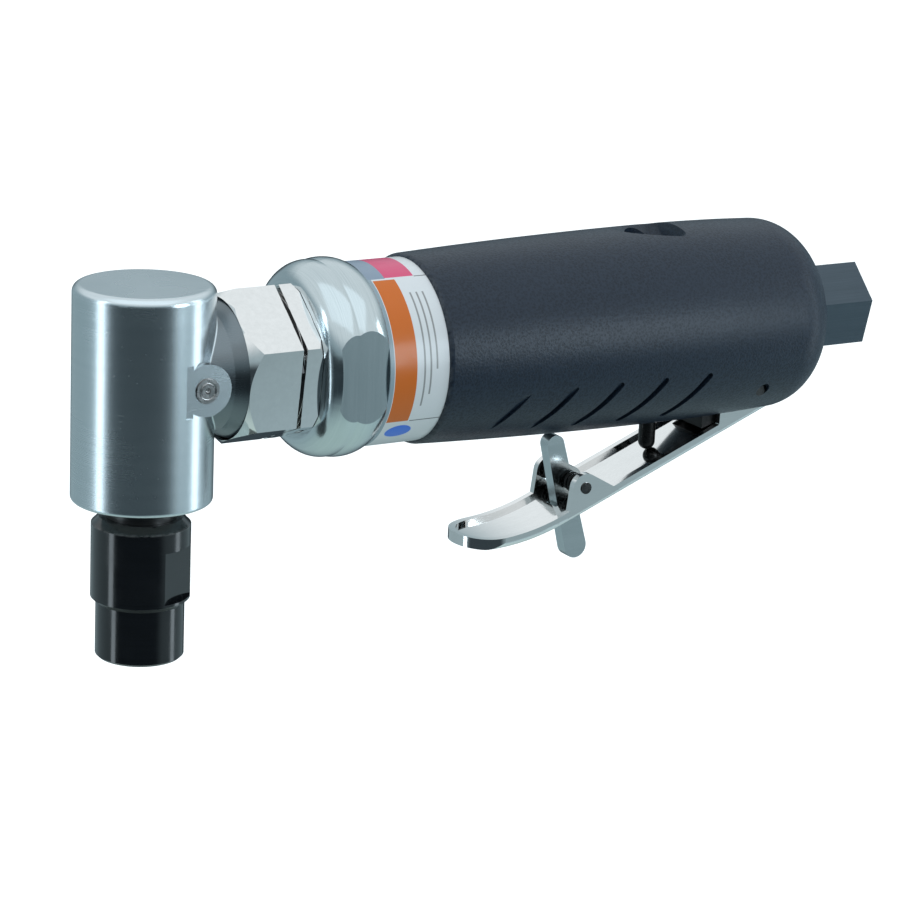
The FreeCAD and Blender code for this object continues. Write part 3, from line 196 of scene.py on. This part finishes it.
def mould_texture(nodes, given):
    """Spark-eroded mould texture: pits from cell distances, broken up by finer noise."""
    pits = nodes.cells(given["Position"], nodes.math("DIVIDE", 1.0, given["Size"]))
    fine = nodes.noise(given["Position"], nodes.math("DIVIDE", 2.2, given["Size"]), 2.0)
    both = nodes.math("ADD", nodes.math("MULTIPLY", pits, 0.6), nodes.math("MULTIPLY", fine, 0.7))
    return {"Height": both}


def rim(nodes, given):
    """Wear along an edge: 1 at the edge, falling to 0 one width away, broken by noise."""
    away = nodes.math("ABSOLUTE", nodes.math("SUBTRACT", given["Along"], given["Edge"]))
    near = nodes.remap(away, 0.0, given["Width"], 1.0, 0.0)
    patches = nodes.remap(nodes.noise(given["Position"], 0.9, 3.0), 0.35, 0.6)
    return {"Mask": nodes.math("MULTIPLY", near, patches)}


def place_round_axis(nodes, given):
    """A point's place along the motor axis, and its angle round it in degrees, 0 at the top."""
    x, y, z = nodes.split(given["Position"])
    up = nodes.math("SUBTRACT", z, MOTOR_AXIS_Z)
    turned = nodes.math("ARCTAN2", nodes.math("ABSOLUTE", y), up)
    return {"Along": x, "Angle": nodes.math("MULTIPLY", turned, math.degrees(1))}


def band_of(nodes, given):
    """1 where a value lies between two limits, with a soft edge."""
    start = nodes.math("SUBTRACT", given["Low"], given["Edge"])
    end = nodes.math("ADD", given["High"], given["Edge"])
    above = nodes.remap(given["Value"], start, given["Low"])
    below = nodes.remap(given["Value"], given["High"], end, 1.0, 0.0)
    return {"Mask": nodes.math("MULTIPLY", above, below)}


TOOL_MARKS = effect("tool_marks", [("Position", PLACE, None), ("Across", PLACE, (1, 1, 1))],
                    [("Lines", NUMBER)], tool_marks)
HANDLING = effect("handling", [("Position", PLACE, None), ("Size", NUMBER, 9.0)],
                  [("Smudges", NUMBER), ("Scuffs", NUMBER)], handling)
MOULD_TEXTURE = effect("mould_texture", [("Position", PLACE, None), ("Size", NUMBER, 0.5)],
                       [("Height", NUMBER)], mould_texture)
RIM = effect("rim_wear", [("Position", PLACE, None), ("Along", NUMBER, 0.0), ("Edge", NUMBER, 0.0),
                          ("Width", NUMBER, 1.0)], [("Mask", NUMBER)], rim)
ROUND_AXIS = effect("round_the_motor_axis", [("Position", PLACE, None)],
                    [("Along", NUMBER), ("Angle", NUMBER)], place_round_axis)
BETWEEN = effect("between", [("Value", NUMBER, 0.0), ("Low", NUMBER, 0.0), ("High", NUMBER, 1.0),
                             ("Edge", NUMBER, 0.05)], [("Mask", NUMBER)], band_of)


# ---------------------------------------------------------------- finishes
def new_finish(name, **constants):
    """An empty material with its Principled shader; constants are set on the shader's own sockets."""
    material = bpy.data.materials.new(name)
    material.use_nodes = True
    nodes = Tree(material.node_tree)
    shader = material.node_tree.nodes["Principled BSDF"]
    for label, value in constants.items():
        shader.inputs[label.replace("_", " ")].default_value = value
    return material, nodes, shader


def grey(level, warm=0.0):
    return (level * (1 + warm), level, level * (1 - warm), 1.0)


def machined(name, dark, light, across, rough, mark_depth=0.6, smudge=9.0, dirt=0.15):
    """Turned, ground or brushed metal: tool marks in colour, roughness and height, with smudges over them.

    rough is the roughness between and on the marks, mark_depth their height in micrometres, smudge the
    size of the smudges and dirt how much they darken the metal."""
    material, nodes, shader = new_finish(name, Metallic=1.0)
    position = nodes.position()
    lines = nodes.group(TOOL_MARKS, {"Position": position, "Across": across})["Lines"]
    worn = nodes.group(HANDLING, {"Position": position, "Size": smudge})
    colour = nodes.blend(lines, dark, light)
    colour = nodes.blend(nodes.math("MULTIPLY", worn["Smudges"], dirt), colour, dark)
    nodes.join(colour, shader.inputs["Base Color"])
    base = nodes.math("ADD", rough[0], nodes.math("MULTIPLY", lines, rough[1] - rough[0]))
    smudged = nodes.math("ADD", base, nodes.math("MULTIPLY", worn["Smudges"], 0.08 * rough[1]))
    scuffed = nodes.math("ADD", smudged, nodes.math("MULTIPLY", worn["Scuffs"], 0.2 * rough[1]))
    nodes.join(scuffed, shader.inputs["Roughness"])
    nodes.join(nodes.bump(lines, 1.0, mark_depth * MICRON), shader.inputs["Normal"])
    return material


ROUND_Z = (0.05, 0.05, 7.0)     # marks that run round the spindle
ROUND_X = (7.0, 0.05, 0.05)     # marks that run round the motor axis
ALONG_X = (0.05, 4.0, 4.0)      # marks that run along the motor axis
EVEN = (0.9, 0.9, 0.9)          # marks with no direction
BARREL_RADIUS = -side_of("angle_head", 0, "X")
BOSS_FACE_Y = 13.3              # how far out the grease fitting's flat boss lies
NUT_GROOVE = (27.05, 27.85)     # the coupling nut's groove, along the motor axis


def tinted(material, mask_of, colour):
    """Lays a colour over a finish where mask_of, given the nodes and the position, is 1; in this script that
    colour is always a painted shade.
    """
    nodes = Tree(material.node_tree)
    socket = material.node_tree.nodes["Principled BSDF"].inputs["Base Color"]
    unshaded = socket.links[0].from_socket
    nodes.join(nodes.blend(mask_of(nodes, nodes.position()), unshaded, colour), socket)
    return material


def painted_shade_on_neck(nodes, position):
    """1 where the neck's painted shade goes: outside the barrel's round and off the boss's flat face, and
    everywhere behind the barrel.
    """
    x, y = nodes.split(position)[:2]
    from_spindle = nodes.distance(x, y)
    outside = nodes.remap(from_spindle, BARREL_RADIUS + 0.02, BARREL_RADIUS + 0.3)
    outward = nodes.math("ABSOLUTE", y)
    off_face = nodes.remap(outward, BOSS_FACE_Y - 0.2, BOSS_FACE_Y - 0.1, 1.0, 0.0)
    behind = nodes.remap(x, BARREL_RADIUS + 0.3, BARREL_RADIUS + 0.8)
    return nodes.math("MAXIMUM", behind, nodes.math("MULTIPLY", outside, off_face))


def satin_head():
    """Satin metal with marks round the spindle; painted shade makes the neck behind the barrel duller and
    darker.
    """
    material = machined("satin_head", (0.60, 0.66, 0.69, 1), (0.66, 0.72, 0.75, 1), ROUND_Z,
                        (0.25, 0.265), 0.2, smudge=22.0, dirt=0.15)
    # painted shade: the neck is the same satin metal, coloured darker
    return tinted(material, painted_shade_on_neck, (0.17, 0.195, 0.21, 1))


def fitting_steel():
    return machined("fitting_steel", grey(0.34), grey(0.46), EVEN, (0.22, 0.30))


def bearing_steel():
    return machined("bearing_steel", grey(0.52), grey(0.64), ROUND_X, (0.14, 0.22))


def dark_steel():
    return machined("dark_steel", grey(0.05), grey(0.09), ROUND_Z, (0.3, 0.4), 1.5)


def collet_steel():
    return machined("collet_steel", grey(0.10), grey(0.15), ROUND_Z, (0.28, 0.38), 1.5)


def gear_steel():
    return machined("gear_steel", grey(0.32), grey(0.42), EVEN, (0.28, 0.38), 2.0)


def painted_groove_shade(nodes, position):
    """1 in the groove that runs round the coupling nut, where its painted shade goes."""
    start, end = NUT_GROOVE
    limits = {"Value": nodes.split(position)[0], "Low": start, "High": end, "Edge": 0.03}
    return nodes.group(BETWEEN, limits)["Mask"]


def polished_nut():
    """Polished plate, with painted shade near black in the groove that runs round the nut."""
    material = machined("polished_nut", grey(0.80, 0.01), grey(0.86, 0.01), EVEN, (0.05, 0.07), 0.15,
                        smudge=7.0, dirt=0.1)
    # painted shade, near black, in the nut's groove
    return tinted(material, painted_groove_shade, grey(0.02))


def polished_housing():
    return machined("polished_housing", (0.52, 0.58, 0.60, 1), (0.60, 0.66, 0.68, 1), ROUND_X,
                    (0.13, 0.17), 0.35)


def motor_iron():
    return machined("motor_iron", grey(0.22), grey(0.30), ROUND_X, (0.35, 0.5), 3.0)


def rotor_steel():
    return machined("rotor_steel", grey(0.40), grey(0.50), ROUND_X, (0.22, 0.30), 1.5)


def valve_brass():
    return machined("valve_brass", (0.54, 0.37, 0.14, 1), (0.66, 0.48, 0.20, 1), ROUND_Z,
                    (0.2, 0.28), 1.5)


def spring_steel():
    return machined("spring_steel", grey(0.38), grey(0.48), EVEN, (0.2, 0.28))


def inlet_steel():
    return machined("inlet_steel", (0.07, 0.09, 0.108, 1), (0.085, 0.108, 0.13, 1), ALONG_X,
                    (0.42, 0.47), 0.8)


def screen_mesh():
    return machined("screen_mesh", grey(0.38), grey(0.52), EVEN, (0.3, 0.38))


def plated_lever():
    return machined("plated_lever", grey(0.78, 0.01), grey(0.84, 0.01), ALONG_X, (0.06, 0.09), 0.2,
                    smudge=6.0, dirt=0.1)


def pin_steel():
    return machined("pin_steel", grey(0.045), grey(0.075), EVEN, (0.25, 0.33))


def plated_lock():
    return machined("plated_lock", (0.50, 0.55, 0.56, 1), (0.58, 0.63, 0.64, 1), ALONG_X,
                    (0.16, 0.22), 0.5)


def black_oxide():
    """Glossy black oxide over turned steel, rubbed grey along its edges."""
    material, nodes, shader = new_finish("black_oxide", Coat_Weight=0.3, Coat_Roughness=0.08)
    position = nodes.position()
    height = nodes.split(position)[2]
    lines = nodes.group(TOOL_MARKS, {"Position": position, "Across": ROUND_Z})["Lines"]
    worn = nodes.group(HANDLING, {"Position": position, "Size": 8.0})
    colour = nodes.blend(lines, (0.0025, 0.003, 0.004, 1), (0.006, 0.007, 0.009, 1))
    for edge in (side_of("collet_nut", 0, "Z"), side_of("collet_nut", 1, "Z") - 1.5):
        where = {"Position": position, "Along": height, "Edge": edge, "Width": 0.35}
        mask = nodes.group(RIM, where)["Mask"]
        colour = nodes.blend(nodes.math("MULTIPLY", mask, 0.6), colour, grey(0.10))
    nodes.join(colour, shader.inputs["Base Color"])
    rough = nodes.math("ADD", 0.14, nodes.math("MULTIPLY", worn["Smudges"], 0.08))
    scuffed = nodes.math("ADD", rough, nodes.math("MULTIPLY", worn["Scuffs"], 0.08))
    nodes.join(scuffed, shader.inputs["Roughness"])
    nodes.join(nodes.bump(lines, 1.0, 0.5 * MICRON), shader.inputs["Normal"])
    return material


def moulded(name, dark, light, cell, depth, rough, wear=(), wear_colour=None):
    """Moulded composite: spark-eroded texture in height and roughness, paler where a rim is rubbed.

    wear lists each rubbed rim's place along X and the width of its wear."""
    material, nodes, shader = new_finish(name, Specular_IOR_Level=0.3)
    position = nodes.position()
    height = nodes.group(MOULD_TEXTURE, {"Position": position, "Size": cell})["Height"]
    worn = nodes.group(HANDLING, {"Position": position, "Size": 14.0})
    speck = nodes.remap(height, 0.35, 0.85)
    colour = nodes.blend(speck, dark, light)
    colour = nodes.blend(nodes.math("MULTIPLY", worn["Smudges"], 0.25), colour, light)
    along = nodes.split(position)[0]
    for edge, width in wear:
        where = {"Position": position, "Along": along, "Edge": edge, "Width": width}
        mask = nodes.group(RIM, where)["Mask"]
        colour = nodes.blend(nodes.math("MULTIPLY", mask, 0.55), colour, wear_colour)
    nodes.join(colour, shader.inputs["Base Color"])
    smooth = nodes.math("SUBTRACT", rough, nodes.math("MULTIPLY", speck, 0.08))
    scuffed = nodes.math("ADD", smooth, nodes.math("MULTIPLY", worn["Scuffs"], 0.1))
    nodes.join(scuffed, shader.inputs["Roughness"])
    nodes.join(nodes.bump(height, 0.8, depth * MM), shader.inputs["Normal"])
    return material


def grip_composite():
    return moulded("grip_composite", (0.005, 0.010, 0.019, 1), (0.014, 0.024, 0.041, 1),
                   0.55, 0.05, 0.44, [(GRIP_FRONT_X, 1.0), (GRIP_REAR_X, 2.0)],
                   (0.07, 0.08, 0.095, 1.0))


def housing_black():
    return moulded("housing_black", grey(0.006), grey(0.012), 0.4, 0.02, 0.45)


def regulator_knob():
    return moulded("regulator_knob", grey(0.20), grey(0.28), 0.3, 0.015, 0.5)


def stem_black():
    return moulded("stem_black", grey(0.004), grey(0.009), 0.5, 0.01, 0.35)


def seal_rubber():
    return moulded("seal_rubber", grey(0.010), grey(0.018), 0.4, 0.01, 0.7)


def vane_composite():
    return moulded("vane_composite", (0.10, 0.055, 0.025, 1), (0.20, 0.12, 0.06, 1),
                   0.5, 0.01, 0.6)


def gasket_paper():
    return moulded("gasket_paper", (0.22, 0.15, 0.08, 1), (0.36, 0.27, 0.16, 1), 0.3, 0.02, 0.85)


def diffuser_felt():
    return moulded("diffuser_felt", grey(0.006), grey(0.016), 0.6, 0.12, 0.95)


LABEL_BARS = ((7.6, 112.0), (9.0, 104.0), (10.4, 88.0))     # start along the band, last angle
BAR_WIDTH = 0.35
BAR_FIRST_ANGLE = 38.0
DOT_START, DOT_ANGLE = 5.0, 134.0       # the dot's middle
DOT_HALF_LENGTH, DOT_HALF_ANGLE = 2.9, 6.5


def label_print():
    """Printed film round the housing: white, with a rose and an orange block, a dot and grey bars."""
    material, nodes, shader = new_finish("label_print", Specular_IOR_Level=0.3, Coat_Weight=0.15,
                                         Coat_Roughness=0.2)
    position = nodes.position()
    x, angle = nodes.group(ROUND_AXIS, {"Position": position}).values()
    band_width = BAND_REAR_X - BAND_FRONT_X

    def area(start, end, first_angle, last_angle):
        """1 on a patch from start to end behind the band's front, between two angles."""
        low, high = BAND_FRONT_X + start, BAND_FRONT_X + end
        inside = nodes.group(BETWEEN, {"Value": x, "Low": low, "High": high})["Mask"]
        limits = {"Value": angle, "Low": first_angle, "High": last_angle, "Edge": 0.15}
        return nodes.math("MULTIPLY", inside, nodes.group(BETWEEN, limits)["Mask"])

    fibre = nodes.noise(position, 6.0, 3.0)
    colour = nodes.blend(fibre, grey(0.64, -0.02), grey(0.70, -0.02))
    printed = [
        (area(0.0, 4.1, 0.0, 24.5), (0.22, 0.28, 0.36, 1)),
        (area(4.1, 10.6, 0.0, 24.0), (0.64, 0.07, 0.17, 1)),
        (area(0.0, 0.9, 24.5, 180.0), (0.26, 0.33, 0.37, 1)),
        (area(1.1, 6.0, 26.0, 123.5), (0.58, 0.13, 0.01, 1)),
        (area(10.7, band_width, 24.2, 24.8), grey(0.12)),
        (area(6.4, band_width, 123.5, 124.1), grey(0.12)),
    ]
    for start, last in LABEL_BARS:
        printed.append((area(start, start + BAR_WIDTH, BAR_FIRST_ANGLE, last), grey(0.28)))
    for mask, ink in printed:
        colour = nodes.blend(mask, colour, ink)
    from_dot = nodes.math("SUBTRACT", x, BAND_FRONT_X + DOT_START)
    across = nodes.math("DIVIDE", from_dot, DOT_HALF_LENGTH)
    turned = nodes.math("DIVIDE", nodes.math("SUBTRACT", angle, DOT_ANGLE), DOT_HALF_ANGLE)
    away = nodes.math("ADD", nodes.math("POWER", across, 2.0), nodes.math("POWER", turned, 2.0))
    colour = nodes.blend(nodes.remap(away, 0.92, 1.08, 1.0, 0.0), colour, (0.03, 0.16, 0.70, 1))
    nodes.join(colour, shader.inputs["Base Color"])
    worn = nodes.group(HANDLING, {"Position": position, "Size": 6.0})
    smudged = nodes.math("ADD", 0.3, nodes.math("MULTIPLY", worn["Smudges"], 0.15))
    nodes.join(smudged, shader.inputs["Roughness"])
    nodes.join(nodes.bump(fibre, 0.15, 0.01 * MM), shader.inputs["Normal"])
    return material


FINISHES = [
    satin_head, fitting_steel, bearing_steel, dark_steel, collet_steel, gear_steel, polished_nut,
    polished_housing, motor_iron, rotor_steel, valve_brass, spring_steel, inlet_steel, screen_mesh,
    plated_lever, pin_steel, plated_lock, black_oxide, grip_composite, housing_black, regulator_knob,
    stem_black, seal_rubber, vane_composite, gasket_paper, diffuser_felt, label_print,
]


def dress_nodes():
    """Gives every CAD node the finish of its slot in the record."""
    finishes = {make.__name__: make() for make in FINISHES}
    for part in frame["record"]["subparts"]:
        node = frame["nodes"][part["node"]]
        for slot in node.material_slots:
            slot.material = finishes[part["material_slot"]]


# ---------------------------------------------------------------- the valve's spring
MERGE_DISTANCE = 1e-6           # metres


def valve_spring_coil():
    """The valve's spring, a merged copy of its CAD node; the whole coil rides the valve."""
    mesh = frame["nodes"]["valve_spring"].data.copy()
    shell = bmesh.new()
    shell.from_mesh(mesh)
    bmesh.ops.remove_doubles(shell, verts=shell.verts, dist=MERGE_DISTANCE)
    shell.to_mesh(mesh)
    shell.free()
    coil = bpy.data.objects.new("valve_spring_coil", mesh)
    bpy.context.scene.collection.objects.link(coil)
    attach(coil, "valve")
    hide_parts("valve_spring")
    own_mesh(coil)


# ---------------------------------------------------------------- floor, light and camera
CAMERA_AZIMUTH = 30.88
CAMERA_ELEVATION = 15.88
CAMERA_ROLL = 2.34
CAMERA_DISTANCE = 0.6968
CAMERA_TARGET = (0.06999, 0.0, 0.03462)
CAMERA_LENS = 135.2             # millimetres, on a sensor of the width below
SENSOR_WIDTH = 36.0
CAMERA_NEAR = 0.01
FLOOR_HEIGHT = -0.45
FLOOR_HALF_SIDE = 4.0
FLOOR_GLOW = 0.4                # how much the floor shines where it is seen directly
LIGHT_AIM = (0.07, 0, 0.045)    # the point that every light faces
LIGHT_TINT = (0.80, 0.92, 1.0)
ROOM_LIGHT = (0.88, 0.95, 0.98, 1.0)
ROOM_WALL = (0.34, 0.44, 0.48, 1.0)
ROOM_DARK = (0.035, 0.048, 0.056, 1.0)
# each light's name, azimuth from the camera's, elevation, distance, width, height and power
LIGHTS = (
    ("left_strip", 65.0, 0.0, 0.9, 0.18, 1.1, 1.7),
    ("right_strip", -98.0, 0.0, 0.9, 0.22, 1.1, 1.8),
    ("side_fill", -62.0, 8.0, 0.9, 0.26, 0.4, 2.4),
    ("overhead", 0.0, 72.0, 1.2, 1.8, 1.2, 2.4),
)


def room_dimness(nodes, given):
    """Where the room is dim, as polished metal mirrors it: broadly in front and narrowly behind."""
    facing = math.radians(CAMERA_AZIMUTH)
    x, y = nodes.split(given["Direction"])[:2]
    flat = nodes.distance(x, y)
    ahead = nodes.math("ADD", nodes.math("MULTIPLY", x, -math.sin(facing)),
                       nodes.math("MULTIPLY", y, -math.cos(facing)))
    turned = nodes.math("DIVIDE", ahead, nodes.math("MAXIMUM", flat, 0.001))
    front = nodes.remap(turned, 0.36, 0.70)
    behind = nodes.remap(turned, -0.97, -0.86, 1.0, 0.0)
    return {"Mask": nodes.math("MAXIMUM", front, behind)}


ROOM_DIMNESS = effect("room_dimness", [("Direction", PLACE, None)], [("Mask", NUMBER)], room_dimness)


def studio_world():
    """Pale light all round, dim low down in front of and behind the tool; white where it is seen directly."""
    world = bpy.data.worlds.new("studio")
    bpy.context.scene.world = world
    world.use_nodes = True
    nodes = Tree(world.node_tree)
    direction = nodes.add("ShaderNodeTexCoord").outputs["Generated"]
    height = nodes.split(direction)[2]
    low = nodes.remap(height, 0.02, 0.22, 1.0, 0.0)
    dim = nodes.math("MULTIPLY", nodes.group(ROOM_DIMNESS, {"Direction": direction})["Mask"], low)
    light = nodes.blend(nodes.remap(height, 0.2, 0.55), ROOM_WALL, ROOM_LIGHT)
    light = nodes.blend(dim, light, ROOM_DARK)
    seen = nodes.add("ShaderNodeLightPath").outputs["Is Camera Ray"]
    backdrop = world.node_tree.nodes["Background"]
    nodes.join(nodes.blend(seen, light, grey(1.0)), backdrop.inputs["Color"])
    backdrop.inputs["Strength"].default_value = 1.0


def soft_light(name, azimuth, elevation, distance, width, height, power):
    """A rectangular softbox at an angle about the tool, facing it."""
    a, e = math.radians(azimuth), math.radians(elevation)
    away = Vector((-math.sin(a) * math.cos(e), -math.cos(a) * math.cos(e), math.sin(e)))
    data = bpy.data.lights.new(name, "AREA")
    data.shape = "RECTANGLE"
    data.size, data.size_y, data.energy = width, height, power
    data.color = LIGHT_TINT
    lamp = bpy.data.objects.new(name, data)
    lamp.location = Vector(LIGHT_AIM) + away * distance
    lamp.rotation_euler = away.to_track_quat("Z", "Y").to_euler()
    bpy.context.scene.collection.objects.link(lamp)


def pale_floor():
    """A wide sheet well below the tool, white where it is seen directly and duller in mirrors."""
    half = FLOOR_HALF_SIDE
    corners = [(-half, -half), (half, -half), (half, half), (-half, half)]
    mesh = bpy.data.meshes.new("floor")
    mesh.from_pydata([(x, y, FLOOR_HEIGHT) for x, y in corners], [], [(0, 1, 2, 3)])
    floor = bpy.data.objects.new("floor", mesh)
    bpy.context.scene.collection.objects.link(floor)
    material, nodes, shader = new_finish("floor_paper", Roughness=0.9, Specular_IOR_Level=0.1)
    place = nodes.add("ShaderNodeTexCoord").outputs["Object"]
    away = nodes.distance(*nodes.split(place)[:2])
    far = nodes.remap(away, 0.15, 1.1)
    dim = nodes.math("MULTIPLY", nodes.group(ROOM_DIMNESS, {"Direction": place})["Mask"], far)
    paper = nodes.blend(nodes.noise(place, 9.0), (0.48, 0.57, 0.53, 1), (0.52, 0.61, 0.57, 1))
    paper = nodes.blend(nodes.remap(away, 0.1, 0.9), paper, (0.38, 0.46, 0.48, 1))
    mirrored = nodes.blend(dim, paper, ROOM_DARK)
    seen = nodes.add("ShaderNodeLightPath").outputs["Is Camera Ray"]
    nodes.join(nodes.blend(seen, mirrored, grey(0.95)), shader.inputs["Base Color"])
    nodes.join(grey(1.0), shader.inputs["Emission Color"])
    nodes.join(nodes.math("MULTIPLY", seen, FLOOR_GLOW), shader.inputs["Emission Strength"])
    floor.data.materials.append(material)


def camera():
    """Looks down the tool from its left front, the way that it is usually pictured."""
    a, e, roll = (math.radians(v) for v in (CAMERA_AZIMUTH, CAMERA_ELEVATION, CAMERA_ROLL))
    ahead = Vector((math.sin(a) * math.cos(e), math.cos(a) * math.cos(e), -math.sin(e)))
    right = Vector((math.cos(a), -math.sin(a), 0.0))
    up = right.cross(ahead)
    turned_right = right * math.cos(roll) + up * math.sin(roll)
    turned_up = up * math.cos(roll) - right * math.sin(roll)
    data = bpy.data.cameras.new("camera")
    data.lens = CAMERA_LENS
    data.sensor_width = SENSOR_WIDTH
    data.clip_start = CAMERA_NEAR
    eye = bpy.data.objects.new("camera", data)
    place = Vector(CAMERA_TARGET) - ahead * CAMERA_DISTANCE
    turned = Matrix((turned_right, turned_up, -ahead)).transposed()
    eye.matrix_world = Matrix.Translation(place) @ turned.to_4x4()
    bpy.context.scene.collection.objects.link(eye)
    bpy.context.scene.camera = eye


dress_nodes()
valve_spring_coil()
studio_world()
pale_floor()
for name, from_camera, *shape in LIGHTS:
    soft_light(name, CAMERA_AZIMUTH + from_camera, *shape)
camera()
bpy.context.scene.view_settings.view_transform = "Standard"
